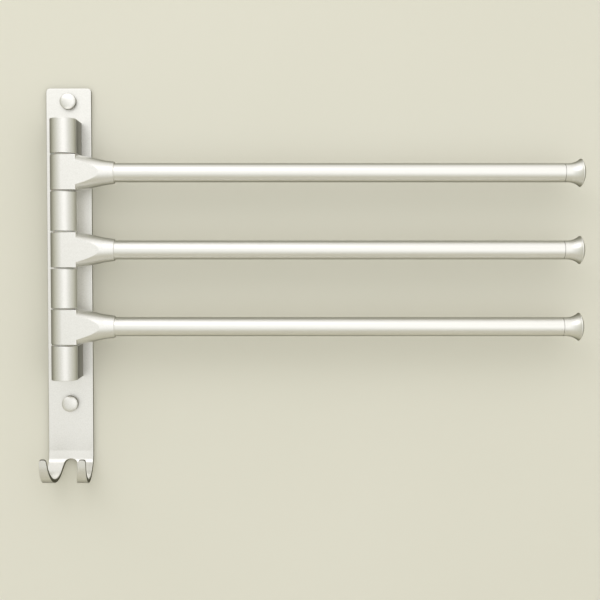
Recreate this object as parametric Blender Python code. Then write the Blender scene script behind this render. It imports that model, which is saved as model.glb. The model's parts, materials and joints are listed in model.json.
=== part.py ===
"""Wall-mounted swivel towel rack: a plate with two robe hooks, and three arms on one upright pin.

Metres, +Z up. The wall is the plane y = 0 and the room is on its -Y side. The origin lies on the
wall plate's back face, half way between its two screw holes. At rest every arm points along +X.
"""

import math

import bmesh
import bpy
from mathutils import Matrix, Vector

# Wall plate: one stamped strip, whose lower end is split into two hooks and bent forward.
PLATE_WIDTH = 0.0330
PLATE_THICKNESS = 0.0030
PLATE_TOP = 0.1204
PLATE_CORNER = 0.0022
PLATE_FRONT = -PLATE_THICKNESS
SCREW_HOLE_HEIGHT = 0.1106
SCREW_HOLE_RADIUS = 0.0024

# The hooks' bends, from the crease down: each is a length along the strip and how far it turns.
CREASE_HEIGHT = -0.1453
HOOK_BENDS = (
    (0.0006, math.radians(7.0)),
    (0.0054, 0.0),
    (0.0050, math.radians(41.0)),
    (0.0064, 0.0),
    (0.0357, math.radians(122.0)),
    (0.0044, 0.0),
)
TURN_PER_STATION = math.radians(7.0)
NOTCH_TOP = 0.0067
NOTCH_RADIUS = 0.0048
NOTCH_HALF_WIDTH_AT_TIP = 0.0116
TIP_CORNER = 0.0020

# The upright stack, from the upper bracket down to the lower one.
STACK_CENTRE = 0.0024
HINGE_FORWARD = 0.0223
HINGE_Y = PLATE_FRONT - HINGE_FORWARD
BARREL_RADIUS = 0.0094
KNUCKLE_HEIGHT = 0.0248
SPACER_HEIGHT = 0.0278
STACK_GAP = 0.0011
BRACKET_HEIGHT = 0.0246
ARM_PITCH = KNUCKLE_HEIGHT + SPACER_HEIGHT + 2 * STACK_GAP
ARM_HEIGHTS = {
    "upper": STACK_CENTRE + ARM_PITCH,
    "middle": STACK_CENTRE,
    "lower": STACK_CENTRE - ARM_PITCH,
}
STACK_HALF = ARM_PITCH + KNUCKLE_HEIGHT / 2 + STACK_GAP

# Hinge pin and the flanged bushes that the arms turn on.
PIN_RADIUS = 0.0040
PIN_CHAMFER = 0.0005
PIN_BORE_DEPTH = 0.0150
RUNNING_GAP = 0.00015
FLANGE_THICKNESS = 0.0007
FLANGE_RADIUS = 0.0091
SLEEVE_RADIUS = 0.0054
SLEEVE_LENGTH = 0.0080

# Arms: a flat-sided knuckle that runs into a cone, the tube, and its flared end cap.
KNUCKLE_END = 0.0102
CONE_PROFILE = ((KNUCKLE_END, 0.0128), (0.0222, 0.0103), (0.0290, 0.0088), (0.0364, 0.0078))
TUBE_RADIUS = 0.0067
TUBE_WALL = 0.0011
TUBE_START = 0.0160
SEAM_REACH = 0.3560
CAP_STRAIGHT = 0.0025
RIM_REACH = 0.3677
RIM_RADIUS = 0.0102
CAP_REACH = 0.3710
SPIGOT_LENGTH = 0.0100

# Fasteners and the covers over the wall screws.
WALL_SHANK_RADIUS = 0.0020
WALL_SHANK_LENGTH = 0.0250
WALL_POINT_LENGTH = 0.0040
WALL_HEAD_RADIUS = 0.0038
WALL_HEAD_HEIGHT = 0.0018
WALL_HEAD_SHOULDER = 0.0008
WALL_HEAD_FLAT_RADIUS = 0.0026
BRACKET_SHANK_RADIUS = 0.0019
BRACKET_HEAD_RADIUS = 0.0036
BRACKET_HEAD_DEPTH = 0.0020
BRACKET_HEAD_SUNK = 0.0001
BRACKET_SCREW_REACH = 0.0120
BRACKET_SCREW_SPACING = 0.0130
COVER_RADIUS = 0.0058
COVER_WALL = 0.0004
COVER_SIDE = 0.0037
COVER_HEIGHT = 0.0051
SEAT_RADIUS = 0.0050
SEAT_FLOOR = 0.0011
SEAT_HEIGHT = 0.0024

# Still pieces that touch are drawn this far apart.
GAP = 0.0003
ROUND_STEPS = 32
SMALL_STEPS = 20
SHARP_ANGLE = math.radians(32.0)
MERGE_DISTANCE = 1e-6
OVERSHOOT = 0.0020

ALONG_X = Matrix.Rotation(math.pi / 2, 4, "Y")
TO_ROOM = Matrix.Rotation(math.pi / 2, 4, "X")
# Turned by half a step, so that no corner of a cutter lies on the plate's middle line.
THROUGH_PLATE = TO_ROOM @ Matrix.Rotation(math.pi / SMALL_STEPS, 4, "Z")


def clear_scene():
    for obj in list(bpy.data.objects):
        bpy.data.objects.remove(obj, do_unlink=True)


def finish(name, colour, metallic, roughness):
    """A Principled material in one plain colour."""
    material = bpy.data.materials.new(name)
    material.use_nodes = True
    shader = material.node_tree.nodes["Principled BSDF"]
    shader.inputs["Base Color"].default_value = (*colour, 1.0)
    shader.inputs["Metallic"].default_value = metallic
    shader.inputs["Roughness"].default_value = roughness
    material.diffuse_color = (*colour, 1.0)
    return material


def piece(name, bm, material, location=(0.0, 0.0, 0.0), parent=None):
    """Turns a bmesh into a named object with smooth round faces and sharp edges."""
    bmesh.ops.recalc_face_normals(bm, faces=bm.faces)
    mesh = bpy.data.meshes.new(name)
    bm.to_mesh(mesh)
    bm.free()
    mesh.materials.append(material)
    mesh.shade_smooth()
    mesh.set_sharp_from_angle(angle=SHARP_ANGLE)
    obj = bpy.data.objects.new(name, mesh)
    bpy.context.scene.collection.objects.link(obj)
    obj.location = location
    obj.parent = parent
    return obj


def cut(target, name, bm, location=(0.0, 0.0, 0.0), operation="DIFFERENCE"):
    """Adds a Boolean of a hidden helper shape, placed in the target's own frame."""
    helper = bpy.data.objects.new(name, bpy.data.meshes.new(name))
    bmesh.ops.recalc_face_normals(bm, faces=bm.faces)
    bm.to_mesh(helper.data)
    bm.free()
    bpy.context.scene.collection.objects.link(helper)
    helper.location = location
    helper.parent = target
    helper.hide_render = True
    helper.display_type = "WIRE"
    modifier = target.modifiers.new(name, "BOOLEAN")
    modifier.operation = operation
    modifier.object = helper
    modifier.solver = "EXACT"
    return helper


def turned(profile, steps=ROUND_STEPS, turn=None):
    """A body of revolution about Z from a closed outline of (radius, height) points."""
    bm = bmesh.new()
    verts = [bm.verts.new((radius, 0.0, height)) for radius, height in profile]
    edges = []
    for first, second in zip(verts, verts[1:] + verts[:1]):
        if first.co.x > 0.0 or second.co.x > 0.0:
            edges.append(bm.edges.new((first, second)))
    bmesh.ops.spin(
        bm,
        geom=verts + edges,
        axis=(0.0, 0.0, 1.0),
        cent=(0.0, 0.0, 0.0),
        angle=2 * math.pi,
        steps=steps,
        use_merge=True,
    )
    bmesh.ops.remove_doubles(bm, verts=bm.verts, dist=MERGE_DISTANCE)
    if turn:
        bm.transform(turn)
    return bm


def rod(radius, low, high, steps=SMALL_STEPS, turn=None):
    return turned([(0.0, low), (radius, low), (radius, high), (0.0, high)], steps, turn)


def prism(outline, low, high):
    """A flat outline of (x, y) points drawn up from one height to another."""
    bm = bmesh.new()
    base = bm.faces.new([bm.verts.new((x, y, low)) for x, y in outline])
    drawn = bmesh.ops.extrude_face_region(bm, geom=[base])
    top = [item for item in drawn["geom"] if isinstance(item, bmesh.types.BMVert)]
    bmesh.ops.translate(bm, verts=top, vec=Vector((0.0, 0.0, high - low)))
    return bm


def arc(centre, radius, start, end, steps):
    """Points (x, y) along an arc, both ends included."""
    points = []
    for step in range(steps + 1):
        angle = start + (end - start) * step / steps
        points.append((centre[0] + radius * math.cos(angle), centre[1] + radius * math.sin(angle)))
    return points


def strip_place(distance):
    """Where the strip's middle surface is, a distance below the crease: forward, height, heading."""
    forward = -PLATE_THICKNESS / 2
    height = CREASE_HEIGHT
    heading = 0.0
    if distance <= 0.0:
        return forward, height - distance, heading
    for length, turn in HOOK_BENDS:
        part = min(distance, length)
        if turn:
            radius = length / turn
            next_heading = heading + part / radius
            forward += radius * (math.cos(heading) - math.cos(next_heading))
            height -= radius * (math.sin(next_heading) - math.sin(heading))
            heading = next_heading
        else:
            forward += part * math.sin(heading)
            height -= part * math.cos(heading)
        distance -= part
        if distance <= 0.0:
            break
    return forward, height, heading


def corner_inset(distance, radius):
    """How far a rounded corner draws the edge in, at a distance from the strip's end."""
    if distance >= radius:
        return 0.0
    return radius - math.sqrt(max(0.0, radius**2 - (radius - distance) ** 2))


def notch_half_width(distance):
    """Half the gap between the hooks: a round arch, then straight sides that spread to the tips."""
    below = distance - NOTCH_TOP
    if below <= 0.0:
        return 0.0
    if below < NOTCH_RADIUS:
        return math.sqrt(NOTCH_RADIUS**2 - (NOTCH_RADIUS - below) ** 2)
    share = (below - NOTCH_RADIUS) / (hook_length() - NOTCH_TOP - NOTCH_RADIUS)
    return NOTCH_RADIUS + (NOTCH_HALF_WIDTH_AT_TIP - NOTCH_RADIUS) * share


def hook_length():
    return sum(length for length, _ in HOOK_BENDS)


def strip_stations():
    """Distances below the crease at which the plate is drawn, from its top edge to the hook tips."""
    top = CREASE_HEIGHT - PLATE_TOP
    end = hook_length()
    corner_steps = 5
    closest = 0.00015
    stations = {top, 0.0, end, NOTCH_TOP}
    for step in range(1, corner_steps + 1):
        angle = math.pi / 2 * step / corner_steps
        stations.add(top + PLATE_CORNER * (1.0 - math.cos(angle)))
        stations.add(end - TIP_CORNER * (1.0 - math.cos(angle)))
        stations.add(NOTCH_TOP + NOTCH_RADIUS * (1.0 - math.cos(angle)))
    start = 0.0
    for length, turn in HOOK_BENDS:
        steps = max(1, math.ceil(turn / TURN_PER_STATION))
        for step in range(1, steps + 1):
            stations.add(start + length * step / steps)
        start += length
    kept = []
    for station in sorted(stations):
        if not kept or station - kept[-1] > closest or station in (NOTCH_TOP, end):
            kept.append(station)
    return kept


def half_strip(bm, side):
    """One half of the plate, from its middle line to one edge, with the hook on that side."""
    top = CREASE_HEIGHT - PLATE_TOP
    end = hook_length()
    rows = []
    for station in strip_stations():
        forward, height, heading = strip_place(station)
        outer = PLATE_WIDTH / 2
        outer -= corner_inset(station - top, PLATE_CORNER) + corner_inset(end - station, TIP_CORNER)
        inner = notch_half_width(station)
        if inner > 0.0:
            inner += corner_inset(end - station, TIP_CORNER)
        row = []
        for face in (0.5, -0.5):
            offset = PLATE_THICKNESS * face
            y = PLATE_FRONT - forward - offset * math.cos(heading)
            z = height + offset * math.sin(heading)
            row.append([bm.verts.new((side * x, y, z)) for x in (inner, outer)])
        rows.append((station, row))
    ends = (rows[0][1], rows[-1][1])
    for front, back in ends:
        bm.faces.new((front[0], front[1], back[1], back[0]))
    for (_, first), (station, second) in zip(rows, rows[1:]):
        for above, below in zip(first, second):
            bm.faces.new((above[0], above[1], below[1], below[0]))
        bm.faces.new((first[0][1], first[1][1], second[1][1], second[0][1]))
        if station > NOTCH_TOP:
            bm.faces.new((first[0][0], first[1][0], second[1][0], second[0][0]))


def wall_plate(aluminium):
    bm = bmesh.new()
    for side in (-1, 1):
        half_strip(bm, side)
    bmesh.ops.remove_doubles(bm, verts=bm.verts, dist=MERGE_DISTANCE)
    plate = piece("wall_plate", bm, aluminium)
    for place, height in (("upper", SCREW_HOLE_HEIGHT), ("lower", -SCREW_HOLE_HEIGHT)):
        hole = rod(SCREW_HOLE_RADIUS, -OVERSHOOT, PLATE_THICKNESS + OVERSHOOT, turn=THROUGH_PLATE)
        cut(plate, f"cut_wall_hole_{place}", hole, (0.0, 0.0, height))
    for name, height in bracket_screw_heights():
        wide = BRACKET_HEAD_RADIUS + GAP
        narrow = BRACKET_SHANK_RADIUS + GAP
        slope = (wide - narrow) / BRACKET_HEAD_DEPTH
        profile = [
            (0.0, -OVERSHOOT),
            (wide + slope * OVERSHOOT, -OVERSHOOT),
            (narrow, BRACKET_HEAD_DEPTH),
            (narrow, PLATE_THICKNESS + OVERSHOOT),
            (0.0, PLATE_THICKNESS + OVERSHOOT),
        ]
        countersink = turned(profile, SMALL_STEPS, THROUGH_PLATE)
        cut(plate, f"cut_countersink_{name}", countersink, (0.0, 0.0, height))
    return plate


def bracket_middle(place):
    half = STACK_HALF + BRACKET_HEIGHT / 2
    return STACK_CENTRE + (half if place == "upper" else -half)


def bracket_screw_heights():
    """Names and heights of the four screws that hold the brackets from behind the plate."""
    found = []
    for place in ("upper", "lower"):
        for number, side in ((1, 0.5), (2, -0.5)):
            height = bracket_middle(place) + side * BRACKET_SCREW_SPACING
            found.append((f"{place}_{number}", height))
    return found


def bracket(place, aluminium):
    """A block with a half-round nose round the pin and flat sides back to the plate."""
    back = PLATE_FRONT - GAP
    outline = arc((0.0, HINGE_Y), BARREL_RADIUS, math.pi, 2 * math.pi, ROUND_STEPS // 2)
    outline += [(BARREL_RADIUS, back), (-BARREL_RADIUS, back)]
    middle = bracket_middle(place)
    low = middle - BRACKET_HEIGHT / 2
    high = middle + BRACKET_HEIGHT / 2
    block = piece(f"{place}_bracket", prism(outline, low, high), aluminium)
    if place == "upper":
        bore = rod(PIN_RADIUS + GAP, low - OVERSHOOT, low + PIN_BORE_DEPTH)
    else:
        bore = rod(PIN_RADIUS + GAP, high - PIN_BORE_DEPTH, high + OVERSHOOT)
    cut(block, f"cut_pin_bore_{place}", bore, (0.0, HINGE_Y, 0.0))
    for name, height in bracket_screw_heights():
        if name.startswith(place):
            thread = rod(
                BRACKET_SHANK_RADIUS + GAP,
                PLATE_THICKNESS - OVERSHOOT,
                BRACKET_SCREW_REACH + GAP,
                turn=TO_ROOM,
            )
            cut(block, f"cut_thread_{name}", thread, (0.0, 0.0, height))
    return block


def hinge_pin(steel):
    reach = STACK_HALF + PIN_BORE_DEPTH - GAP
    profile = [
        (0.0, -reach),
        (PIN_RADIUS - PIN_CHAMFER, -reach),
        (PIN_RADIUS, -reach + PIN_CHAMFER),
        (PIN_RADIUS, reach - PIN_CHAMFER),
        (PIN_RADIUS - PIN_CHAMFER, reach),
        (0.0, reach),
    ]
    return piece("hinge_pin", turned(profile, SMALL_STEPS), steel, (0.0, HINGE_Y, STACK_CENTRE))


def spacer(name, height, aluminium):
    half = SPACER_HEIGHT / 2
    bore = PIN_RADIUS + GAP
    profile = [(bore, -half), (BARREL_RADIUS, -half), (BARREL_RADIUS, half), (bore, half)]
    return piece(name, turned(profile), aluminium, (0.0, HINGE_Y, height))


def bush(name, up, nylon, pivot):
    """A bush pressed into one end of a knuckle. Its flange parts the knuckle from its neighbour."""
    face = KNUCKLE_HEIGHT / 2
    clear = (STACK_GAP - FLANGE_THICKNESS) / 2
    bore = PIN_RADIUS + RUNNING_GAP
    profile = [
        (bore, face + clear + FLANGE_THICKNESS),
        (FLANGE_RADIUS, face + clear + FLANGE_THICKNESS),
        (FLANGE_RADIUS, face + clear),
        (SLEEVE_RADIUS, face + clear),
        (SLEEVE_RADIUS, face - SLEEVE_LENGTH),
        (bore, face - SLEEVE_LENGTH),
    ]
    if not up:
        profile = [(radius, -height) for radius, height in profile]
    return piece(name, turned(profile), nylon, parent=pivot)


def arm_socket(name, aluminium, pivot):
    """A knuckle with a round back and flat cheeks, run into a cone that takes the tube."""
    half = KNUCKLE_HEIGHT / 2
    outline = arc((0.0, 0.0), BARREL_RADIUS, math.pi / 2, 3 * math.pi / 2, ROUND_STEPS // 2)
    outline += [(KNUCKLE_END, -BARREL_RADIUS), (KNUCKLE_END, BARREL_RADIUS)]
    knuckle = piece(name, prism(outline, -half, half), aluminium, parent=pivot)
    root = KNUCKLE_END - OVERSHOOT
    reach = CONE_PROFILE[-1][0]
    profile = [(0.0, root), (half - GAP, root)]
    profile += [(radius, along) for along, radius in CONE_PROFILE]
    profile += [(0.0, reach)]
    cone = cut(knuckle, f"join_cone_{name}", turned(profile, turn=ALONG_X), operation="UNION")
    cheek = [
        (root - OVERSHOOT, -BARREL_RADIUS),
        (reach + OVERSHOOT, -BARREL_RADIUS),
        (reach + OVERSHOOT, BARREL_RADIUS),
        (root - OVERSHOOT, BARREL_RADIUS),
    ]
    tall = CONE_PROFILE[0][1] + OVERSHOOT
    cut(cone, f"trim_cheeks_{name}", prism(cheek, -tall, tall), operation="INTERSECT")
    barrel_bore = rod(SLEEVE_RADIUS + GAP, -half - OVERSHOOT, half + OVERSHOOT)
    cut(knuckle, f"cut_barrel_bore_{name}", barrel_bore)
    tube_bore = rod(TUBE_RADIUS + GAP, TUBE_START - GAP, reach + OVERSHOOT, ROUND_STEPS, ALONG_X)
    cut(knuckle, f"cut_tube_bore_{name}", tube_bore)
    return knuckle


def arm_tube(name, aluminium, pivot):
    inside = TUBE_RADIUS - TUBE_WALL
    far = SEAM_REACH - GAP / 2
    profile = [(inside, TUBE_START), (TUBE_RADIUS, TUBE_START), (TUBE_RADIUS, far), (inside, far)]
    return piece(name, turned(profile, turn=ALONG_X), aluminium, parent=pivot)


def end_cap(name, aluminium, pivot):
    """A plug whose outside flares like a trumpet from the tube's size to a domed end."""
    spigot = TUBE_RADIUS - TUBE_WALL - GAP
    seam = SEAM_REACH + GAP / 2
    profile = [(0.0, seam - SPIGOT_LENGTH), (spigot, seam - SPIGOT_LENGTH), (spigot, seam)]
    profile.append((TUBE_RADIUS, seam))
    flare_start = SEAM_REACH + CAP_STRAIGHT
    run = RIM_REACH - flare_start
    rise = RIM_RADIUS - TUBE_RADIUS
    sweep = 2 * math.atan2(rise, run)
    flare_radius = run / math.sin(sweep)
    flare_steps = 5
    for step in range(flare_steps + 1):
        angle = sweep * step / flare_steps
        along = flare_start + flare_radius * math.sin(angle)
        profile.append((TUBE_RADIUS + flare_radius * (1.0 - math.cos(angle)), along))
    sag = CAP_REACH - RIM_REACH
    dome_radius = (RIM_RADIUS**2 + sag**2) / (2 * sag)
    dome_sweep = math.asin(RIM_RADIUS / dome_radius)
    dome_steps = 4
    for step in range(1, dome_steps + 1):
        angle = dome_sweep * (1.0 - step / dome_steps)
        profile.append((dome_radius * math.sin(angle), CAP_REACH - dome_radius * (1.0 - math.cos(angle))))
    return piece(name, turned(profile, turn=ALONG_X), aluminium, parent=pivot)


def arm(place, height, aluminium, nylon):
    """One arm, on an empty that stands on the hinge pin's axis."""
    pivot = bpy.data.objects.new(f"{place}_arm_pivot", None)
    pivot.location = (0.0, HINGE_Y, height)
    bpy.context.scene.collection.objects.link(pivot)
    arm_socket(f"{place}_arm_socket", aluminium, pivot)
    arm_tube(f"{place}_arm_tube", aluminium, pivot)
    end_cap(f"{place}_end_cap", aluminium, pivot)
    bush(f"{place}_arm_bush_top", True, nylon, pivot)
    bush(f"{place}_arm_bush_bottom", False, nylon, pivot)


def bracket_screw(name, height, steel):
    """A countersunk screw, flush with the plate's back, that runs forward into its bracket."""
    profile = [
        (0.0, BRACKET_HEAD_SUNK),
        (BRACKET_HEAD_RADIUS, BRACKET_HEAD_SUNK),
        (BRACKET_SHANK_RADIUS, BRACKET_HEAD_DEPTH + BRACKET_HEAD_SUNK),
        (BRACKET_SHANK_RADIUS, BRACKET_SCREW_REACH),
        (0.0, BRACKET_SCREW_REACH),
    ]
    bm = turned(profile, SMALL_STEPS, TO_ROOM)
    return piece(f"bracket_screw_{name}", bm, steel, (0.0, 0.0, height))


def wall_screw(place, height, steel):
    """A pan-head screw through the plate and its cover seat, with its point in the wall."""
    under_head = PLATE_THICKNESS + GAP / 2 + SEAT_FLOOR + GAP
    head_top = under_head + WALL_HEAD_HEIGHT
    profile = [
        (0.0, -WALL_SHANK_LENGTH),
        (WALL_SHANK_RADIUS, WALL_POINT_LENGTH - WALL_SHANK_LENGTH),
        (WALL_SHANK_RADIUS, under_head),
        (WALL_HEAD_RADIUS, under_head),
        (WALL_HEAD_RADIUS, under_head + WALL_HEAD_SHOULDER),
        (WALL_HEAD_FLAT_RADIUS, head_top),
        (0.0, head_top),
    ]
    return piece(f"wall_screw_{place}", turned(profile, SMALL_STEPS, TO_ROOM), steel, (0.0, 0.0, height))


def cover_seat(place, height, nylon):
    """A ring under the screw's head, whose raised rim the screw cover snaps on to."""
    bore = WALL_SHANK_RADIUS + GAP
    rim = WALL_HEAD_RADIUS + GAP
    base = PLATE_THICKNESS + GAP / 2
    floor = base + SEAT_FLOOR
    lip = base + SEAT_HEIGHT
    profile = [
        (bore, base),
        (SEAT_RADIUS, base),
        (SEAT_RADIUS, lip),
        (rim, lip),
        (rim, floor),
        (bore, floor),
    ]
    return piece(f"cover_seat_{place}", turned(profile, SMALL_STEPS, TO_ROOM), nylon, (0.0, 0.0, height))


def screw_cover(place, height, aluminium):
    """A shallow cup with a domed face that hides the wall screw."""
    base = PLATE_THICKNESS + GAP / 2
    shoulder = base + COVER_SIDE
    top = base + COVER_HEIGHT
    steps = 4

    def dome(radius, low, high):
        points = []
        for step in range(steps + 1):
            angle = math.pi / 2 * step / steps
            points.append((radius * math.cos(angle), low + (high - low) * math.sin(angle)))
        return points

    inner_radius = COVER_RADIUS - COVER_WALL
    profile = [(COVER_RADIUS, base)]
    profile += dome(COVER_RADIUS, shoulder, top)
    profile += reversed(dome(inner_radius, shoulder, top - COVER_WALL))
    profile += [(inner_radius, base)]
    profile = [(max(0.0, round(radius, 9)), along) for radius, along in profile]
    bm = turned(profile, SMALL_STEPS, TO_ROOM)
    return piece(f"screw_cover_{place}", bm, aluminium, (0.0, 0.0, height))


def build():
    clear_scene()
    aluminium = finish("satin_aluminium", (0.80, 0.80, 0.78), 1.0, 0.38)
    steel = finish("zinc_plated_steel", (0.62, 0.62, 0.63), 1.0, 0.35)
    nylon = finish("white_nylon", (0.86, 0.86, 0.83), 0.0, 0.45)

    wall_plate(aluminium)
    for place in ("upper", "lower"):
        bracket(place, aluminium)
    for name, height in bracket_screw_heights():
        bracket_screw(name, height, steel)
    hinge_pin(steel)
    for place, height in ARM_HEIGHTS.items():
        arm(place, height, aluminium, nylon)
    spacer("upper_spacer", STACK_CENTRE + ARM_PITCH / 2, aluminium)
    spacer("lower_spacer", STACK_CENTRE - ARM_PITCH / 2, aluminium)
    for place, height in (("upper", SCREW_HOLE_HEIGHT), ("lower", -SCREW_HOLE_HEIGHT)):
        wall_screw(place, height, steel)
        cover_seat(place, height, nylon)
        screw_cover(place, height, aluminium)


build()
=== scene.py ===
"""Finished looks for the swivel towel rack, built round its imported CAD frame.

Metres, +Z up, the wall at y = 0 and the room on its -Y side, as in the frame.
"""

import json
import math

import bmesh
import bpy
from mathutils import Matrix, Vector


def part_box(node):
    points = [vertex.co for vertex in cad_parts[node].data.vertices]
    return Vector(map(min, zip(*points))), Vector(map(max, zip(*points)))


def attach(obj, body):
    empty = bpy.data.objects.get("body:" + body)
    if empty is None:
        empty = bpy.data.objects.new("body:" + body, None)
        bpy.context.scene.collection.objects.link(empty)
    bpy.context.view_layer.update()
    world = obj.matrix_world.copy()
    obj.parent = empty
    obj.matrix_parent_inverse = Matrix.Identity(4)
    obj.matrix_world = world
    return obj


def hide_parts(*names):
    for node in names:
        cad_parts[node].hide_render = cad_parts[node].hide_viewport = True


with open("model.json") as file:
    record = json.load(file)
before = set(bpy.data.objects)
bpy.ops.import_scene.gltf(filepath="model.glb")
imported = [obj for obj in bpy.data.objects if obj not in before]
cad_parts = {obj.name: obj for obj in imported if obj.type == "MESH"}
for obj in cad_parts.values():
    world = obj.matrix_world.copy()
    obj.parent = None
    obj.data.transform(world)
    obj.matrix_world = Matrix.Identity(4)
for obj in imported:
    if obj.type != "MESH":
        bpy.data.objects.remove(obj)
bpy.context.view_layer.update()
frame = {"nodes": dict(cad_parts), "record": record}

BODY_OF = {node: body for body, nodes in frame["record"]["behaviour"]["bodies"].items() for node in nodes}
HINGES = {joint["child"]: Vector(joint["pos_m"]) for joint in frame["record"]["behaviour"]["joints"]}
ARMS = ("upper", "middle", "lower")
ENDS = ("upper", "lower")

ALONG_X = Matrix.Rotation(math.pi / 2, 4, "Y")
TO_ROOM = Matrix.Rotation(math.pi / 2, 4, "X")

# How far edges are rounded over.
SAWN_EDGE = 0.00035
TURNED_EDGE = 0.0003
STAMPED_FRONT_EDGE = 0.0005
STAMPED_BACK_EDGE = 0.0002
FLANGE_EDGE = 0.0001
TUBE_EDGE = 0.00008
CONE_EDGE = 0.0004
SPIGOT_EDGE = 0.0003
RIM_EDGE = 0.0005
SCREW_HEAD_EDGE = 0.00015
SCREW_TIP_EDGE = 0.0003
SEAM = 0.00005

# How near counts as touching, and how far a cutter runs past the face it cuts.
TOUCHING = 1e-7
OVERSHOOT = 0.002

# The wall plate's strip: bends down the hooks as (length, turn), and the notch between the hooks.
PLATE_THICKNESS = 0.0030
PLATE_CORNER = 0.0031
CREASE_HEIGHT = -0.1453
HOOK_BENDS = (
    (0.0006, math.radians(7.0)),
    (0.0054, 0.0),
    (0.0050, math.radians(41.0)),
    (0.0064, 0.0),
    (0.0357, math.radians(122.0)),
    (0.0044, 0.0),
)
HOOK_LENGTH = sum(length for length, _ in HOOK_BENDS)
NOTCH_TOP = 0.0067
NOTCH_RADIUS = 0.0048
NOTCH_HALF_WIDTH_AT_TIP = 0.0116
TIP_CORNER = 0.0020
BEND_STEP = 0.0008

# Arm pieces, measured from the hinge axis along the arm.
KNUCKLE_HALF = 0.0124
KNUCKLE_CORNER = 0.0008
CHEEK_HALF = 0.0094
CONE_PROFILE = ((0.0102, 0.0128), (0.0222, 0.0103), (0.0290, 0.0088), (0.0364, 0.0078))
SLEEVE_BORE = 0.0057
TUBE_WALL = 0.0011
CAP_STRAIGHT = 0.0025
RIM_REACH = 0.3677
SPIGOT_LENGTH = 0.0100

# Arm bushes.
BUSH_BORE = 0.00415
BUSH_SLEEVE = 0.0054
THRUST_RING = 0.0072
FLANGE_THICKNESS = 0.0007
FLANGE_STEP = 0.0002

# Fasteners.
PIN_BORE = 0.0043
PIN_BORE_DEPTH = 0.0150
WALL_HOLE_RADIUS = 0.0024
COUNTERSINK_RADIUS = 0.0039
BRACKET_SHANK_HOLE = 0.0022
BRACKET_HEAD_RADIUS = 0.0036
BRACKET_SHANK_RADIUS = 0.0019
BRACKET_HEAD_DEPTH = 0.0020
WALL_THREAD_PITCH = 0.0018
WALL_THREAD_DEPTH = 0.0005
WALL_THREAD_START = -0.0010
WALL_THREAD_RUN_OUT = 0.0004
WALL_POINT_TAPER = 0.0050
WALL_SHANK_RADIUS = 0.0020
WALL_HEAD_HEIGHT = 0.0018
WALL_HEAD_ROUNDING = ((0.0, 0.0008), (0.0004, 0.0003), (0.0012, 0.0))
CROSS_REACH = 0.0017
CROSS_HALF_WIDTH = 0.0004
CROSS_DEPTH = 0.0013
CROSS_TURN = math.radians(20)
COVER_WALL = 0.0004
COVER_SIDE = 0.0037

# The wall stands a hair behind the plate's back, so that the two don't meet. The floor is far below the rack.
WALL_Y = 0.0006
FLOOR_Z = -1.25
WALL_TOP = 3.0
FLOOR_FRONT = -1.3
ROOM_HALF_WIDTH = 4.0

# The room's light: where it is brightest, and its tones by the angle away from there.
ROOM_STRENGTH = 1.3
BRIGHTEST_WAY = Vector((0.26, -0.96, 0.08)).normalized()
CEILING_WAY = Vector((0.0, -0.35, 0.94)).normalized()
CEILING_TONE = "#F2F1EE"
OVERHEAD_TONE = "#DAD9D4"
LOW_TONE = "#AFAC99"
BACKDROP_TONE = "#D3D0C4"

# Where each part of the room's light fades in or out: the ceiling and the space straight overhead, the room
# side of the wall, the low part of the room, and the wall side.
CEILING_FADE = (0.42, 0.75)
OVERHEAD_FADE = (0.80, 1.0)
ROOM_SIDE_FADE = (-0.10, 0.50)
LOW_FADE = (-0.45, -1.0)
WALL_SIDE_FADE = (0.35, 0.85)
ROOM_TONES = (
    (0, "#FFFEFC"),
    (180, "#484638"),
    (16, "#F3F3F0"),
    (32, "#D0D0CB"),
    (52, "#C5C5BD"),
    (70, "#BABAAE"),
    (88, "#ADAC9D"),
    (108, "#949383"),
    (135, "#6A6857"),
)


# The key light and the camera.
KEY_PLACE = (-0.22, -0.80, 0.78)
KEY_AIM = (0.12, 0.0, 0.0)
KEY_SIZE = (0.80, 0.60)
KEY_RADIANCE = 0.92
EYE = (0.1414, -0.7749, -0.0030)
EYE_DIPS = math.radians(2.315)
EYE_SHIFT = 0.063
EYE_LENS = 63.0
SENSOR = 36.0


def colour(code):
    """An sRGB hex colour as linear RGBA."""
    channels = [int(code[place : place + 2], 16) / 255 for place in (1, 3, 5)]
    linear = [c / 12.92 if c <= 0.04045 else ((c + 0.055) / 1.055) ** 2.4 for c in channels]
    return (*linear, 1.0)


def add(tree, kind, settings=None, inputs=None):
    """Adds a node. Settings go on the node; an input takes a value or another node's output."""
    made = tree.nodes.new(kind)
    for name, value in (settings or {}).items():
        setattr(made, name, value)
    for name, value in (inputs or {}).items():
        if isinstance(value, bpy.types.NodeSocket):
            tree.links.new(value, made.inputs[name])
        else:
            made.inputs[name].default_value = value
    return made


def new_material(name):
    """An empty node material: its tree and its surface socket."""
    material = bpy.data.materials.new(name)
    material.use_nodes = True
    material.node_tree.nodes.clear()
    output = add(material.node_tree, "ShaderNodeOutputMaterial")
    return material, material.node_tree, output.inputs["Surface"]


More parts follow.
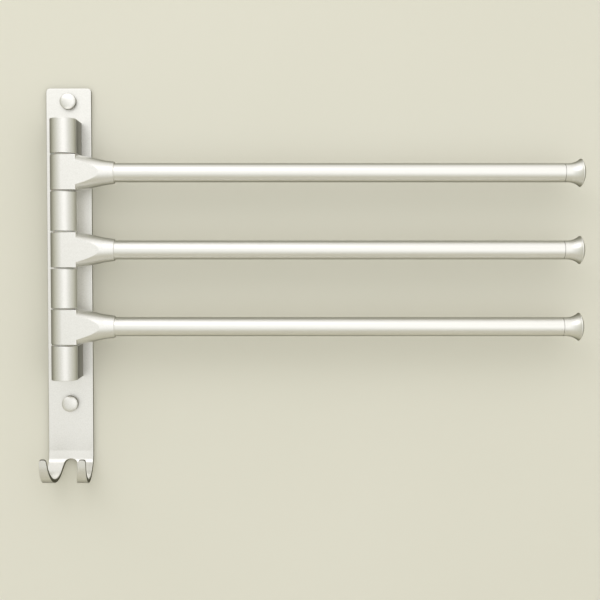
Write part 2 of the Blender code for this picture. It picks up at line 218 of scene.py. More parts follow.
def bead_blasted_anodised_aluminium():
    """Aluminium, bead-blasted fine and clear anodised: a satin skin that spreads each light into a soft band.

    Blasting leaves dimples of about 0.1 mm. They are drawn at 0.7 mm, as coarse as the grain needs to show.
    """
    dimple = 0.0007
    handling = 0.016
    material, tree, surface = new_material("bead_blasted_anodised_aluminium")
    place = add(tree, "ShaderNodeTexCoord").outputs["Object"]
    grain = add(tree, "ShaderNodeTexNoise", {}, {"Vector": place, "Scale": 1 / dimple, "Detail": 3.0})
    cloud = add(tree, "ShaderNodeTexNoise", {}, {"Vector": place, "Scale": 1 / handling, "Detail": 2.0})
    tone = add(
        tree,
        "ShaderNodeMix",
        {"data_type": "RGBA"},
        {0: grain.outputs["Fac"], 6: colour("#E4E3DF"), 7: colour("#FAF9F7")},
    )
    fine = add(tree, "ShaderNodeMapRange", {}, {"Value": grain.outputs["Fac"], "To Min": -0.03, "To Max": 0.03})
    broad = add(tree, "ShaderNodeMapRange", {}, {"Value": cloud.outputs["Fac"], "To Min": 0.36, "To Max": 0.42})
    rough = add(tree, "ShaderNodeMath", {"operation": "ADD"}, {0: fine.outputs[0], 1: broad.outputs[0]})
    bump = add(
        tree,
        "ShaderNodeBump",
        {},
        {"Height": grain.outputs["Fac"], "Strength": 0.25, "Distance": 0.00004},
    )
    shader = add(
        tree,
        "ShaderNodeBsdfPrincipled",
        {},
        {
            "Base Color": tone.outputs[2],
            "Metallic": 1.0,
            "Roughness": rough.outputs[0],
            "Normal": bump.outputs[0],
        },
    )
    tree.links.new(shader.outputs[0], surface)
    return material


def painted_shade_aluminium():
    """Anodised aluminium coloured darker as painted shade, for flanks, cut edges and cover skirts: a duller
    skin with fine cross lines.

    Shear and die lines are hairlines. They are drawn 0.5 mm apart and 6 mm long, so that they just show.
    """
    length = 1 / 0.006
    across = 1 / 0.0005
    material, tree, surface = new_material("painted_shade_aluminium")
    place = add(tree, "ShaderNodeTexCoord").outputs["Object"]
    along = add(tree, "ShaderNodeMapping", {}, {"Vector": place, "Scale": (length, across, length)})
    lines = add(tree, "ShaderNodeTexNoise", {}, {"Vector": along.outputs[0], "Scale": 1.0, "Detail": 2.0})
    # The darker tones are painted shade: these flanks stand in for sides turned away from the light.
    tone = add(
        tree,
        "ShaderNodeMix",
        {"data_type": "RGBA"},
        {0: lines.outputs["Fac"], 6: colour("#6E6C5F"), 7: colour("#89877B")},
    )
    rough = add(tree, "ShaderNodeMapRange", {}, {"Value": lines.outputs["Fac"], "To Min": 0.42, "To Max": 0.55})
    shader = add(
        tree,
        "ShaderNodeBsdfPrincipled",
        {},
        {"Base Color": tone.outputs[2], "Metallic": 1.0, "Roughness": rough.outputs[0]},
    )
    tree.links.new(shader.outputs[0], surface)
    return material


def worked_aluminium(name, stretch, low, high):
    """Anodised aluminium with fine lines left by the tool, stretched as the tool ran."""
    material, tree, surface = new_material(name)
    place = add(tree, "ShaderNodeTexCoord").outputs["Object"]
    along = add(tree, "ShaderNodeMapping", {}, {"Vector": place, "Scale": stretch})
    lines = add(tree, "ShaderNodeTexNoise", {}, {"Vector": along.outputs[0], "Scale": 1.0, "Detail": 2.0})
    tone = add(
        tree,
        "ShaderNodeMix",
        {"data_type": "RGBA"},
        {0: lines.outputs["Fac"], 6: colour("#EDECE8"), 7: colour("#F4F3F0")},
    )
    rough = add(tree, "ShaderNodeMapRange", {}, {"Value": lines.outputs["Fac"], "To Min": low, "To Max": high})
    bump = add(
        tree,
        "ShaderNodeBump",
        {},
        {"Height": lines.outputs["Fac"], "Strength": 0.15, "Distance": 0.00003},
    )
    shader = add(
        tree,
        "ShaderNodeBsdfPrincipled",
        {},
        {
            "Base Color": tone.outputs[2],
            "Metallic": 1.0,
            "Roughness": rough.outputs[0],
            "Normal": bump.outputs[0],
        },
    )
    tree.links.new(shader.outputs[0], surface)
    return material


def drawn_anodised_tube():
    """Aluminium tube drawn through a die and anodised: smooth, with faint straight lines along its length.

    Die lines are hairlines. They are drawn 0.9 mm apart and 150 mm long, so that they just show.
    """
    length = 1 / 0.150
    across = 1 / 0.0009
    return worked_aluminium("drawn_anodised_tube", (length, across, across), 0.32, 0.39)


def turned_anodised_aluminium():
    """Aluminium turned on a lathe and anodised: faint rings round the cap, drawn 0.8 mm apart so they show."""
    pitch = 1 / 0.0008
    round_the_ring = 1 / 0.030
    return worked_aluminium("turned_anodised_aluminium", (pitch, round_the_ring, round_the_ring), 0.32, 0.39)


def zinc_plated_steel():
    """Steel, bright zinc plated: a cool grey metal, a little uneven where the plating built up."""
    plating = 0.0012
    material, tree, surface = new_material("zinc_plated_steel")
    place = add(tree, "ShaderNodeTexCoord").outputs["Object"]
    patches = add(tree, "ShaderNodeTexNoise", {}, {"Vector": place, "Scale": 1 / plating, "Detail": 2.0})
    tone = add(
        tree,
        "ShaderNodeMix",
        {"data_type": "RGBA"},
        {0: patches.outputs["Fac"], 6: colour("#AEB2B8"), 7: colour("#C6C8C9")},
    )
    shine = {"Value": patches.outputs["Fac"], "To Min": 0.22, "To Max": 0.38}
    rough = add(tree, "ShaderNodeMapRange", {}, shine)
    shader = add(
        tree,
        "ShaderNodeBsdfPrincipled",
        {},
        {"Base Color": tone.outputs[2], "Metallic": 1.0, "Roughness": rough.outputs[0]},
    )
    tree.links.new(shader.outputs[0], surface)
    return material


def moulded_white_nylon():
    """Nylon 6, moulded and left natural: milky, waxy white with a faint mould texture."""
    texture = 0.0006
    material, tree, surface = new_material("moulded_white_nylon")
    place = add(tree, "ShaderNodeTexCoord").outputs["Object"]
    mould = add(tree, "ShaderNodeTexNoise", {}, {"Vector": place, "Scale": 1 / texture, "Detail": 1.0})
    tone = add(
        tree,
        "ShaderNodeMix",
        {"data_type": "RGBA"},
        {0: mould.outputs["Fac"], 6: colour("#E9E6DC"), 7: colour("#F1EFE8")},
    )
    rough = add(tree, "ShaderNodeMapRange", {}, {"Value": mould.outputs["Fac"], "To Min": 0.40, "To Max": 0.52})
    shader = add(
        tree,
        "ShaderNodeBsdfPrincipled",
        {},
        {
            "Base Color": tone.outputs[2],
            "Metallic": 0.0,
            "Roughness": rough.outputs[0],
            "IOR": 1.53,
            "Subsurface Weight": 0.08,
            "Subsurface Scale": 0.0015,
        },
    )
    tree.links.new(shader.outputs[0], surface)
    return material


def matt_wall_paint():
    """Matt emulsion on plaster, seen from the room only: it doesn't tint the rack or hide its back."""
    roller_cloud = 0.25
    material, tree, surface = new_material("matt_wall_paint")
    place = add(tree, "ShaderNodeTexCoord").outputs["Object"]
    cloud = add(tree, "ShaderNodeTexNoise", {}, {"Vector": place, "Scale": 1 / roller_cloud, "Detail": 2.0})
    tone = add(
        tree,
        "ShaderNodeMix",
        {"data_type": "RGBA"},
        {0: cloud.outputs["Fac"], 6: colour("#E2E0D3"), 7: colour("#E7E5D9")},
    )
    paint = add(tree, "ShaderNodeBsdfDiffuse", {}, {"Color": tone.outputs[2]})
    clear = add(tree, "ShaderNodeBsdfTransparent")
    behind = add(tree, "ShaderNodeNewGeometry").outputs["Backfacing"]
    seen = add(tree, "ShaderNodeLightPath").outputs["Is Camera Ray"]
    front = add(tree, "ShaderNodeMath", {"operation": "SUBTRACT"}, {0: seen, 1: behind})
    shown = add(tree, "ShaderNodeMath", {"operation": "MAXIMUM"}, {0: front.outputs[0], 1: 0.0})
    mixed = add(
        tree,
        "ShaderNodeMixShader",
        {},
        {0: shown.outputs[0], 1: clear.outputs[0], 2: paint.outputs[0]},
    )
    tree.links.new(mixed.outputs[0], surface)
    return material


def pale_floor_screed():
    """A sealed pale cement floor, faintly clouded by the trowel."""
    trowel_cloud = 0.30
    material, tree, surface = new_material("pale_floor_screed")
    place = add(tree, "ShaderNodeTexCoord").outputs["Object"]
    cloud = add(tree, "ShaderNodeTexNoise", {}, {"Vector": place, "Scale": 1 / trowel_cloud, "Detail": 4.0})
    tone = add(
        tree,
        "ShaderNodeMix",
        {"data_type": "RGBA"},
        {0: cloud.outputs["Fac"], 6: colour("#E2DFD2"), 7: colour("#E6E3D7")},
    )
    floor = add(tree, "ShaderNodeBsdfDiffuse", {}, {"Color": tone.outputs[2]})
    tree.links.new(floor.outputs[0], surface)
    return material


def shell(rings, joined=False):
    """A skin over rings of points. A one-point ring closes an end; joined runs the last ring into the first."""
    bm = bmesh.new()
    made = [[bm.verts.new(point) for point in ring] for ring in rings]
    if joined:
        made.append(made[0])
    for first, second in zip(made, made[1:]):
        count = max(len(first), len(second))
        for here in range(count):
            after = (here + 1) % count
            corners = (
                first[here % len(first)],
                first[after % len(first)],
                second[after % len(second)],
                second[here % len(second)],
            )
            different = list(dict.fromkeys(corners))
            if len(different) > 2:
                bm.faces.new(different)
    bmesh.ops.recalc_face_normals(bm, faces=bm.faces)
    return bm


def ring(radius, along, steps):
    """Points on a circle about Z, or the one point on the axis where the radius is nothing."""
    if radius < TOUCHING:
        return [(0.0, 0.0, along)]
    angles = [2 * math.pi * step / steps for step in range(steps)]
    return [(radius * math.cos(a), radius * math.sin(a), along) for a in angles]


def turned(profile, steps=96, turn=None):
    """A body of revolution about Z from a closed outline of (radius, along) points."""
    rings = [ring(radius, along, steps) for radius, along in profile]
    bm = shell(rings, joined=all(len(points) > 1 for points in rings))
    if turn:
        bm.transform(turn)
    return bm


def eased(corners, steps=4):
    """An outline whose corners are rounded over. Each corner is (x, y, how far back the rounding starts)."""
    points = []
    for index, (x, y, ease) in enumerate(corners):
        corner = Vector((x, y))
        if not ease:
            points.append(corner)
            continue
        before = Vector(corners[index - 1][:2]) - corner
        after = Vector(corners[(index + 1) % len(corners)][:2]) - corner
        start = corner + before.normalized() * ease
        end = corner + after.normalized() * ease
        for step in range(steps + 1):
            share = step / steps
            points.append(start.lerp(corner, share).lerp(corner.lerp(end, share), share))
    return [tuple(point) for point in points]


def arc(centre, radius, start, end, steps):
    """Points (x, y) along an arc, both ends included."""
    angles = [start + (end - start) * step / steps for step in range(steps + 1)]
    return [(centre[0] + radius * math.cos(a), centre[1] + radius * math.sin(a)) for a in angles]


def prism(outline, low, high, low_edge=0.0, high_edge=0.0):
    """A flat outline of (x, y) points drawn up from one height to another, its rims rounded over."""
    bm = bmesh.new()
    base = bm.faces.new([bm.verts.new((x, y, low)) for x, y in outline])
    drawn = bmesh.ops.extrude_face_region(bm, geom=[base])
    top = [item for item in drawn["geom"] if isinstance(item, bmesh.types.BMVert)]
    bmesh.ops.translate(bm, verts=top, vec=Vector((0.0, 0.0, high - low)))
    bmesh.ops.recalc_face_normals(bm, faces=bm.faces)
    for height, edge in ((low, low_edge), (high, high_edge)):
        if edge:
            rim = [e for e in bm.edges if all(abs(v.co.z - height) < TOUCHING for v in e.verts)]
            bmesh.ops.bevel(bm, geom=rim, offset=edge, segments=3, profile=0.5, affect="EDGES")
    return bm


def combine(first, second, operation="DIFFERENCE"):
    """Cuts, joins or trims the first solid with the second."""
    helpers = []
    for bm in (first, second):
        mesh = bpy.data.meshes.new("helper")
        bm.to_mesh(mesh)
        bm.free()
        helpers.append(bpy.data.objects.new("helper", mesh))
        bpy.context.scene.collection.objects.link(helpers[-1])
    modifier = helpers[0].modifiers.new("combine", "BOOLEAN")
    modifier.object = helpers[1]
    modifier.operation = operation
    modifier.solver = "EXACT"
    ready = helpers[0].evaluated_get(bpy.context.evaluated_depsgraph_get())
    result = bmesh.new()
    result.from_mesh(ready.data)
    for helper in helpers:
        mesh = helper.data
        bpy.data.objects.remove(helper)
        bpy.data.meshes.remove(mesh)
    return result


def sharpen(bm, angle, flat_axis=None):
    """Marks the edges that stay crisp: those over the angle, and those round a flat that faces flat_axis."""
    square_on = 0.99995
    turned_off = 0.995
    for face in bm.faces:
        face.smooth = True
    for edge in bm.edges:
        if len(edge.link_faces) != 2:
            continue
        one, two = (face.normal for face in edge.link_faces)
        crisp = one.angle(two, 0.0) > angle
        if flat_axis is not None:
            leans = sorted((abs(one.dot(flat_axis)), abs(two.dot(flat_axis))))
            crisp = crisp or (leans[1] > square_on and leans[0] < turned_off)
        edge.smooth = not crisp


def finished(node, bm, materials, place=(0.0, 0.0, 0.0), angle=35.0, flat_axis=None):
    """Stands a finished piece in for its CAD node, on the same body."""
    bm.transform(Matrix.Translation(place))
    bm.normal_update()
    sharpen(bm, math.radians(angle), flat_axis)
    mesh = bpy.data.meshes.new(f"{node}_finished")
    bm.to_mesh(mesh)
    bm.free()
    for material in materials:
        mesh.materials.append(material)
    piece = bpy.data.objects.new(f"{node}_finished", mesh)
    bpy.context.scene.collection.objects.link(piece)
    weighted = piece.modifiers.new("flats_stay_flat", "WEIGHTED_NORMAL")
    weighted.keep_sharp = True
    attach(piece, BODY_OF[node])
    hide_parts(node)
    return piece


def middle(node):
    """The middle of a CAD node's box."""
    low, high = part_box(node)
    return (low + high) / 2


def strip_place(distance):
    """Where the plate's middle surface is, a distance below the crease: forward, height, heading."""
    forward = PLATE_THICKNESS / 2
    height = CREASE_HEIGHT
    heading = 0.0
    if distance <= 0.0:
        return forward, height - distance, heading
    for length, turn in HOOK_BENDS:
        part = min(distance, length)
        if turn:
            radius = length / turn
            next_heading = heading + part / radius
            forward += radius * (math.cos(heading) - math.cos(next_heading))
            height -= radius * (math.sin(next_heading) - math.sin(heading))
            heading = next_heading
        else:
            forward += part * math.sin(heading)
            height -= part * math.cos(heading)
        distance -= part
        if distance <= 0.0:
            break
    return forward, height, heading


def plate_outline():
    """The plate laid flat, as (across, below the crease): square top, two hooks and the notch between them."""
    low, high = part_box("wall_plate")
    half = (high.x - low.x) / 2
    top = CREASE_HEIGHT - high.z
    notch_end = NOTCH_TOP + NOTCH_RADIUS
    right = [
        (half, top, PLATE_CORNER),
        (half, HOOK_LENGTH, TIP_CORNER),
        (NOTCH_HALF_WIDTH_AT_TIP, HOOK_LENGTH, TIP_CORNER),
    ]
    left = [(-x, distance, ease) for x, distance, ease in reversed(right)]
    arch_steps = 28
    arch = arc((0.0, notch_end), NOTCH_RADIUS, 0.0, -math.pi, arch_steps)
    return eased(right + [(x, distance, 0.0) for x, distance in arch] + left, steps=7)


def wall_plate(blasted, painted_shade_metal):
    """One strip of 3 mm sheet, stamped out with a rolled-over front edge, then bent."""
    half = PLATE_THICKNESS / 2
    bm = prism(plate_outline(), -half, half, STAMPED_BACK_EDGE, STAMPED_FRONT_EDGE)
    # The sheet's cut edges take the darker aluminium, painted shade along its sides.
    cut_edge_lean = 0.2
    for face in bm.faces:
        face.material_index = int(abs(face.normal.z) < cut_edge_lean)
    cuts = int(HOOK_LENGTH / BEND_STEP)
    for cut in range(cuts):
        bmesh.ops.bisect_plane(
            bm,
            geom=[*bm.verts, *bm.edges, *bm.faces],
            dist=TOUCHING,
            plane_co=(0.0, HOOK_LENGTH * cut / cuts, 0.0),
            plane_no=(0.0, 1.0, 0.0),
        )
    for vert in bm.verts:
        across, distance, out = vert.co
        forward, height, heading = strip_place(distance)
        vert.co = (across, -forward - out * math.cos(heading), height + out * math.sin(heading))
    bmesh.ops.recalc_face_normals(bm, faces=bm.faces)
    steps = 48
    behind = -2 * OVERSHOOT
    in_front = PLATE_THICKNESS * 2
    for end in ENDS:
        profile = [(0.0, behind), (WALL_HOLE_RADIUS, behind), (WALL_HOLE_RADIUS, in_front), (0.0, in_front)]
        hole = turned(profile, steps, TO_ROOM)
        hole.transform(Matrix.Translation((0.0, 0.0, middle(f"wall_screw_{end}").z)))
        bm = combine(bm, hole)
        slope = (COUNTERSINK_RADIUS - BRACKET_SHANK_HOLE) / BRACKET_HEAD_DEPTH
        for number in (1, 2):
            profile = [
                (0.0, -OVERSHOOT),
                (COUNTERSINK_RADIUS + slope * OVERSHOOT, -OVERSHOOT),
                (BRACKET_SHANK_HOLE, BRACKET_HEAD_DEPTH),
                (BRACKET_SHANK_HOLE, in_front),
                (0.0, in_front),
            ]
            sink = turned(profile, steps, TO_ROOM)
            sink.transform(Matrix.Translation((0.0, 0.0, middle(f"bracket_screw_{end}_{number}").z)))
            bm = combine(bm, sink)
    return finished("wall_plate", bm, (blasted, painted_shade_metal))


def bracket(end, blasted, painted_shade_metal):
    """A length of nosed bar, sawn off and its ends broken, bored for the pin."""
    node = f"{end}_bracket"
    low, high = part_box(node)
    hinge_y = low.y + CHEEK_HALF
    nose_steps = 64
    outline = arc((0.0, hinge_y), high.x, math.pi, 2 * math.pi, nose_steps)
    outline += [(high.x, high.y), (-high.x, high.y)]
    bm = prism(outline, low.z, high.z, SAWN_EDGE, SAWN_EDGE)
    # The flat sides take the darker aluminium, painted shade on the sides turned from the light.
    flat_side_lean = 0.9999
    for face in bm.faces:
        face.material_index = int(abs(face.normal.x) > flat_side_lean)
    mouth = low.z if end == "upper" else high.z
    inward = 1 if end == "upper" else -1
    bottom, top = sorted((mouth - inward * OVERSHOOT, mouth + inward * PIN_BORE_DEPTH))
    bore = turned([(0.0, bottom), (PIN_BORE, bottom), (PIN_BORE, top), (0.0, top)], 48)
    bore.transform(Matrix.Translation((0.0, hinge_y, 0.0)))
    return finished(node, combine(bm, bore), (blasted, painted_shade_metal))


def spacer(end, aluminium):
    """A turned barrel with both rims broken."""
    node = f"{end}_spacer"
    low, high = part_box(node)
    half = (high.z - low.z) / 2
    radius = (high.x - low.x) / 2
    edge = TURNED_EDGE
    profile = [(PIN_BORE, -half, 0), (radius, -half, edge), (radius, half, edge), (PIN_BORE, half, 0)]
    return finished(node, turned(eased(profile)), [aluminium], middle(node))


def arm_socket(arm, aluminium):
    """A cast knuckle with a round back and flat cheeks, run into a cone that grips the tube."""
    node = f"{arm}_arm_socket"
    tube_low, tube_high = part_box(f"{arm}_arm_tube")
    hinge = HINGES[BODY_OF[node]]
    half = KNUCKLE_HALF
    back_steps = 64
    knuckle_end = CONE_PROFILE[0][0]
    corners = [
        (0.0, -CHEEK_HALF, 0),
        (knuckle_end, -CHEEK_HALF, KNUCKLE_CORNER),
        (knuckle_end, CHEEK_HALF, KNUCKLE_CORNER),
        (0.0, CHEEK_HALF, 0),
    ]
    outline = eased(corners)
    outline += arc((0.0, 0.0), CHEEK_HALF, math.pi / 2, 3 * math.pi / 2, back_steps)[1:-1]
    knuckle = prism(outline, -half, half, TURNED_EDGE, TURNED_EDGE)
    root = knuckle_end - OVERSHOOT
    reach = CONE_PROFILE[-1][0]
    profile = [(0.0, root, 0), (half - TURNED_EDGE, root, 0)]
    profile += [(radius, along, CONE_EDGE) for along, radius in CONE_PROFILE]
    profile += [(0.0, reach, 0)]
    cone = turned(eased(profile), 128, ALONG_X)
    cheeks = [
        (root - OVERSHOOT, -CHEEK_HALF),
        (reach + OVERSHOOT, -CHEEK_HALF),
        (reach + OVERSHOOT, CHEEK_HALF),
        (root - OVERSHOOT, CHEEK_HALF),
    ]
    clear = 0.02
    cone = combine(cone, prism(cheeks, -clear, clear), "INTERSECT")
    bm = combine(knuckle, cone, "UNION")
    bore = turned([(0.0, -clear), (SLEEVE_BORE, -clear), (SLEEVE_BORE, clear), (0.0, clear)], 48)
    bm = combine(bm, bore)
    grip = (tube_high.z - tube_low.z) / 2 + SEAM
    start = tube_low.x - SEAM
    past = 0.05
    seat = turned([(0.0, start), (grip, start), (grip, past), (0.0, past)], 96, ALONG_X)
    bm = combine(bm, seat)
    return finished(node, bm, [aluminium], hinge, angle=25.0, flat_axis=Vector((0.0, 1.0, 0.0)))


def arm_tube(arm, tube_metal):
    """A drawn tube, cut square and lightly deburred."""
    node = f"{arm}_arm_tube"
    low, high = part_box(node)
    radius = (high.z - low.z) / 2
    inside = radius - TUBE_WALL
    profile = [(inside, low.x, 0), (radius, low.x, 0), (radius, high.x, TUBE_EDGE), (inside, high.x, 0)]
    place = middle(node)
    return finished(node, turned(eased(profile), 96, ALONG_X), [tube_metal], (0.0, place.y, place.z))


def end_cap(arm, turned_metal):
    """A turned plug that flares like a trumpet to a rolled rim and a low dome."""
    node = f"{arm}_end_cap"
    low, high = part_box(node)
    tube_low, tube_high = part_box(f"{arm}_arm_tube")
    radius = (tube_high.z - tube_low.z) / 2
    rim = (high.z - low.z) / 2
    seam = low.x + SPIGOT_LENGTH
    spigot = radius - TUBE_WALL - SEAM
    flare_start = seam + CAP_STRAIGHT
    run = RIM_REACH - flare_start
    rise = rim - radius
    sweep = 2 * math.atan2(rise, run)
    flare_radius = run / math.sin(sweep)
    profile = [
        (0.0, low.x, 0),
        (spigot, low.x, SPIGOT_EDGE),
        (spigot, seam, 0),
        (radius, seam, TUBE_EDGE),
    ]
    flare_steps = 18
    for step in range(flare_steps):
        angle = sweep * step / flare_steps
        out = radius + flare_radius * (1 - math.cos(angle))
        profile.append((out, flare_start + flare_radius * math.sin(angle), 0))
    profile.append((rim, RIM_REACH, RIM_EDGE))
    sag = high.x - RIM_REACH
    dome_radius = (rim**2 + sag**2) / (2 * sag)
    dome_sweep = math.asin(rim / dome_radius)
    dome_steps = 14
    for step in range(1, dome_steps + 1):
        angle = dome_sweep * (1 - step / dome_steps)
        along = high.x - dome_radius * (1 - math.cos(angle))
        profile.append((dome_radius * math.sin(angle), along, 0))
    place = middle(node)
    return finished(node, turned(eased(profile), 96, ALONG_X), [turned_metal], (0.0, place.y, place.z))


def arm_bush(arm, end, nylon):
    """A flanged bush with a raised thrust ring. Only its flange's rim shows, a pale line in the stack."""
    node = f"{arm}_arm_bush_{end}"
    low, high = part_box(node)
    rim = (high.x - low.x) / 2
    face = (high.z - low.z) / 2
    seat = face - FLANGE_THICKNESS
    profile = [
        (BUSH_BORE, face, 0),
        (THRUST_RING, face, 0),
        (THRUST_RING, face - FLANGE_STEP, 0),
        (rim, face - FLANGE_STEP, FLANGE_EDGE),
        (rim, seat + FLANGE_STEP, FLANGE_EDGE),
        (THRUST_RING, seat + FLANGE_STEP, 0),
        (THRUST_RING, seat, 0),
        (BUSH_SLEEVE, seat, 0),
        (BUSH_SLEEVE, -face, 0),
        (BUSH_BORE, -face, 0),
    ]
    bm = turned(eased(profile), 96)
    if end == "bottom":
        bm.transform(Matrix.Rotation(math.pi, 4, "X"))
    return finished(node, bm, [nylon], middle(node))


def screw_cover(end, blasted, painted_shade_metal):
    """A pressed cup with a domed face that snaps over the wall screw."""
    node = f"screw_cover_{end}"
    low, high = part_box(node)
    radius = (high.x - low.x) / 2
    base = -high.y
    top = -low.y
    shoulder = base + COVER_SIDE
    inner = radius - COVER_WALL
    steps = 16
    outside = arc((0.0, 0.0), 1.0, 0.0, math.pi / 2, steps)
    rise = top - shoulder
    inner_rise = rise - COVER_WALL
    profile = [(radius, base)]
    profile += [(radius * x, shoulder + rise * y) for x, y in outside]
    profile += [(inner * x, shoulder + inner_rise * y) for x, y in reversed(outside)]
    profile += [(inner, base)]
    bm = turned(profile, 72, TO_ROOM)
    bm.normal_update()
    # The skirt takes the darker aluminium, a painted shadow round the cover's side.
    skirt_lean = 0.02
    for face in bm.faces:
        face.material_index = int(abs(face.normal.y) < skirt_lean)
    return finished(node, bm, (blasted, painted_shade_metal), (0.0, 0.0, middle(node).z))


def bracket_screw(end, number, steel):
    """A countersunk machine screw with a cross recess; its head shows on the plate's back."""
    node = f"bracket_screw_{end}_{number}"
    low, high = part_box(node)
    sunk = -high.y
    reach = -low.y
    profile = [
        (0.0, sunk, 0),
        (BRACKET_HEAD_RADIUS, sunk, SCREW_HEAD_EDGE),
        (BRACKET_SHANK_RADIUS, BRACKET_HEAD_DEPTH + sunk, 0),
        (BRACKET_SHANK_RADIUS, reach, SCREW_TIP_EDGE),
        (0.0, reach, 0),
    ]
    bm = turned(eased(profile), 48, TO_ROOM)
    outline = [(x * CROSS_REACH, y * CROSS_HALF_WIDTH) for x, y in ((-1, -1), (1, -1), (1, 1), (-1, 1))]
    narrowed = 0.45
    thinned = 0.8
    for spin in (0.0, math.pi / 2):
        slot = prism(outline, -OVERSHOOT / 2, CROSS_DEPTH)
        for vert in slot.verts:
            if vert.co.z > 0:
                vert.co.x *= narrowed
                vert.co.y *= thinned
        slot.transform(TO_ROOM @ Matrix.Rotation(spin + CROSS_TURN, 4, "Z"))
        bm = combine(bm, slot)
    return finished(node, bm, [steel], (0.0, 0.0, middle(node).z))


def wall_screw(end, steel):
    """A pan-head wall screw with a cut thread down to its point."""
    node = f"wall_screw_{end}"
    low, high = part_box(node)
    head_radius = (high.x - low.x) / 2
    point = -high.y
    head_top = -low.y
    under_head = head_top - WALL_HEAD_HEIGHT
    core = WALL_SHANK_RADIUS - WALL_THREAD_DEPTH
    steps = 32
    rows_per_turn = 8
    ridge_half = 0.25
    rows = int((WALL_THREAD_START - point) / WALL_THREAD_PITCH * rows_per_turn)
    rings = [ring(0.0, point, steps)]
    for row in range(1, rows + 1):
        along = point + (WALL_THREAD_START - point) * row / rows
        narrow = min(1.0, (along - point) / WALL_POINT_TAPER)
        threaded = []
        for step in range(steps):
            turn = (along / WALL_THREAD_PITCH - step / steps) % 1.0
            ridge = max(0.0, 1.0 - abs(turn - 0.5) / ridge_half)
            radius = narrow * (core + WALL_THREAD_DEPTH * ridge)
            angle = 2 * math.pi * step / steps
            threaded.append((radius * math.cos(angle), radius * math.sin(angle), along))
        rings.append(threaded)
    rest = [(core, WALL_THREAD_START + WALL_THREAD_RUN_OUT), (core, under_head), (head_radius, under_head)]
    rest += [(head_radius - inwards, head_top - down) for inwards, down in WALL_HEAD_ROUNDING]
    rings += [ring(radius, along, steps) for radius, along in rest + [(0.0, head_top)]]
    bm = shell(rings)
    bm.transform(TO_ROOM)
    return finished(node, bm, [steel], (0.0, 0.0, middle(node).z), angle=50.0)


def keep(node, material):
    """A CAD node that stays as it is, in a better material."""
    for slot in frame["nodes"][node].material_slots:
        slot.material = material


def flat_stage(name, corners, material):
    """A flat sheet of the room, which is no part of the rack."""
    mesh = bpy.data.meshes.new(name)
    mesh.from_pydata(corners, [], [tuple(range(len(corners)))])
    mesh.materials.append(material)
    plane = bpy.data.objects.new(name, mesh)
    bpy.context.scene.collection.objects.link(plane)
    return plane


def softbox(name, place, aim, size, radiance):
    """A rectangular soft light whose face glows at the given radiance, where 1 is white."""
    data = bpy.data.lights.new(name, "AREA")
    data.shape = "RECTANGLE"
    data.size, data.size_y = size
    data.energy = radiance * math.pi * size[0] * size[1]
    light = bpy.data.objects.new(name, data)
    light.location = place
    light.rotation_euler = (Vector(aim) - Vector(place)).to_track_quat("-Z", "Y").to_euler()
    light.visible_camera = False
    bpy.context.scene.collection.objects.link(light)


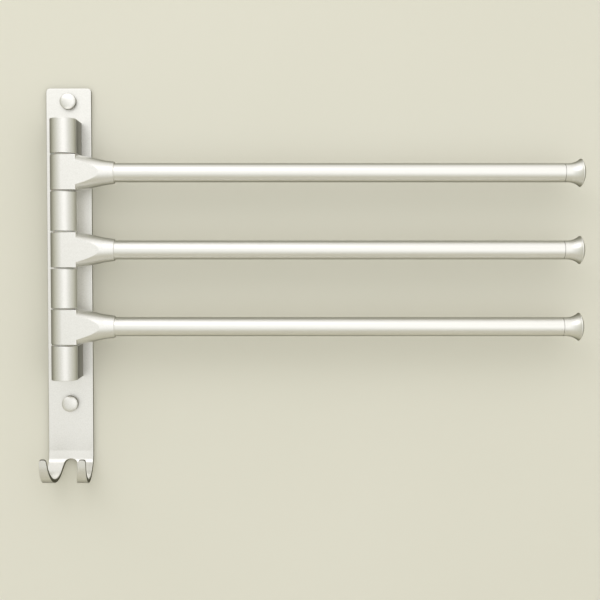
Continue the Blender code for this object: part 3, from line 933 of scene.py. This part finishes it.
def room_light():
    """The room as the metal sees it: bright in front and overhead, dimmer at the sides, dark by the wall."""
    world = bpy.data.worlds.new("room")
    bpy.context.scene.world = world
    world.use_nodes = True
    tree = world.node_tree
    tree.nodes.clear()
    direction = add(tree, "ShaderNodeTexCoord").outputs["Generated"]
    axes = add(tree, "ShaderNodeSeparateXYZ", {}, {0: direction})
    facing = add(tree, "ShaderNodeVectorMath", {"operation": "DOT_PRODUCT"}, {0: direction, 1: BRIGHTEST_WAY})
    turned_away = add(
        tree, "ShaderNodeMapRange", {}, {"Value": facing.outputs["Value"], "From Min": 1.0, "From Max": -1.0}
    )
    around = add(tree, "ShaderNodeValToRGB", {}, {0: turned_away.outputs[0]})
    around.color_ramp.interpolation = "B_SPLINE"
    for index, (degrees, code) in enumerate(ROOM_TONES):
        place = (1 - math.cos(math.radians(degrees))) / 2
        stops = around.color_ramp.elements
        stop = stops[index] if index < 2 else stops.new(place)
        stop.position = place
        stop.color = colour(code)
    overhead = add(tree, "ShaderNodeVectorMath", {"operation": "DOT_PRODUCT"}, {0: direction, 1: CEILING_WAY})
    upwards = add(
        tree,
        "ShaderNodeMapRange",
        {"interpolation_type": "SMOOTHSTEP"},
        {"Value": overhead.outputs["Value"], "From Min": CEILING_FADE[0], "From Max": CEILING_FADE[1]},
    )
    downwards = add(
        tree,
        "ShaderNodeMapRange",
        {"interpolation_type": "SMOOTHSTEP"},
        {"Value": axes.outputs["Z"], "From Min": LOW_FADE[0], "From Max": LOW_FADE[1]},
    )
    straight_up = add(
        tree,
        "ShaderNodeMapRange",
        {"interpolation_type": "SMOOTHSTEP"},
        {"Value": axes.outputs["Z"], "From Min": OVERHEAD_FADE[0], "From Max": OVERHEAD_FADE[1]},
    )
    overhead_tone = add(
        tree,
        "ShaderNodeMix",
        {"data_type": "RGBA"},
        {0: straight_up.outputs[0], 6: colour(CEILING_TONE), 7: colour(OVERHEAD_TONE)},
    )
    in_room = add(
        tree,
        "ShaderNodeMapRange",
        {"interpolation_type": "SMOOTHSTEP"},
        {
            "Value": axes.outputs["Y"],
            "From Min": ROOM_SIDE_FADE[0],
            "From Max": ROOM_SIDE_FADE[1],
            "To Min": 1.0,
            "To Max": 0.0,
        },
    )
    ceiling_share = add(
        tree, "ShaderNodeMath", {"operation": "MULTIPLY"}, {0: upwards.outputs[0], 1: in_room.outputs[0]}
    )
    ceiling = add(
        tree,
        "ShaderNodeMix",
        {"data_type": "RGBA"},
        {0: ceiling_share.outputs[0], 6: around.outputs[0], 7: overhead_tone.outputs[2]},
    )
    by_wall = add(
        tree,
        "ShaderNodeMapRange",
        {"interpolation_type": "SMOOTHSTEP"},
        {
            "Value": axes.outputs["Y"],
            "From Min": WALL_SIDE_FADE[0],
            "From Max": WALL_SIDE_FADE[1],
            "To Min": 1.0,
            "To Max": 0.0,
        },
    )
    low_share = add(
        tree, "ShaderNodeMath", {"operation": "MULTIPLY"}, {0: downwards.outputs[0], 1: by_wall.outputs[0]}
    )
    whole = add(
        tree,
        "ShaderNodeMix",
        {"data_type": "RGBA"},
        {0: low_share.outputs[0], 6: ceiling.outputs[2], 7: colour(LOW_TONE)},
    )
    seen = add(tree, "ShaderNodeLightPath").outputs["Is Camera Ray"]
    shown = add(
        tree, "ShaderNodeMix", {"data_type": "RGBA"}, {0: seen, 6: whole.outputs[2], 7: colour(BACKDROP_TONE)}
    )
    background = add(tree, "ShaderNodeBackground", {}, {"Color": shown.outputs[2], "Strength": ROOM_STRENGTH})
    add(tree, "ShaderNodeOutputWorld", {}, {"Surface": background.outputs[0]})


def camera():
    """Eye level with the rack's middle, right of the plate, looking at the wall and dipped a little."""
    data = bpy.data.cameras.new("camera")
    data.sensor_width = SENSOR
    data.lens = EYE_LENS
    data.shift_x = EYE_SHIFT
    eye = bpy.data.objects.new("camera", data)
    eye.location = EYE
    eye.rotation_euler = (math.pi / 2 - EYE_DIPS, 0.0, 0.0)
    bpy.context.scene.collection.objects.link(eye)
    bpy.context.scene.camera = eye


def build():
    """Every piece of the rack in its finish."""
    blasted = bead_blasted_anodised_aluminium()
    painted_shade_metal = painted_shade_aluminium()
    tube_metal = drawn_anodised_tube()
    turned_metal = turned_anodised_aluminium()
    steel = zinc_plated_steel()
    nylon = moulded_white_nylon()
    wall_plate(blasted, painted_shade_metal)
    for end in ENDS:
        bracket(end, blasted, painted_shade_metal)
        spacer(end, blasted)
        screw_cover(end, blasted, painted_shade_metal)
        wall_screw(end, steel)
        keep(f"cover_seat_{end}", nylon)
        for number in (1, 2):
            bracket_screw(end, number, steel)
    keep("hinge_pin", steel)
    for arm in ARMS:
        arm_socket(arm, blasted)
        arm_tube(arm, tube_metal)
        end_cap(arm, turned_metal)
        for end in ("top", "bottom"):
            arm_bush(arm, end, nylon)


def surroundings():
    """A plain wall and floor, one softbox high on the left, and the room's own light."""
    left, right = -ROOM_HALF_WIDTH, ROOM_HALF_WIDTH
    wall = [
        (left, WALL_Y, FLOOR_Z),
        (right, WALL_Y, FLOOR_Z),
        (right, WALL_Y, WALL_TOP),
        (left, WALL_Y, WALL_TOP),
    ]
    flat_stage("wall", wall, matt_wall_paint())
    floor = [
        (left, FLOOR_FRONT, FLOOR_Z),
        (right, FLOOR_FRONT, FLOOR_Z),
        (right, WALL_Y, FLOOR_Z),
        (left, WALL_Y, FLOOR_Z),
    ]
    flat_stage("floor", floor, pale_floor_screed())
    softbox("key_softbox", KEY_PLACE, KEY_AIM, KEY_SIZE, KEY_RADIANCE)
    room_light()


build()
surroundings()
camera()
bpy.context.scene.view_settings.view_transform = "Standard"
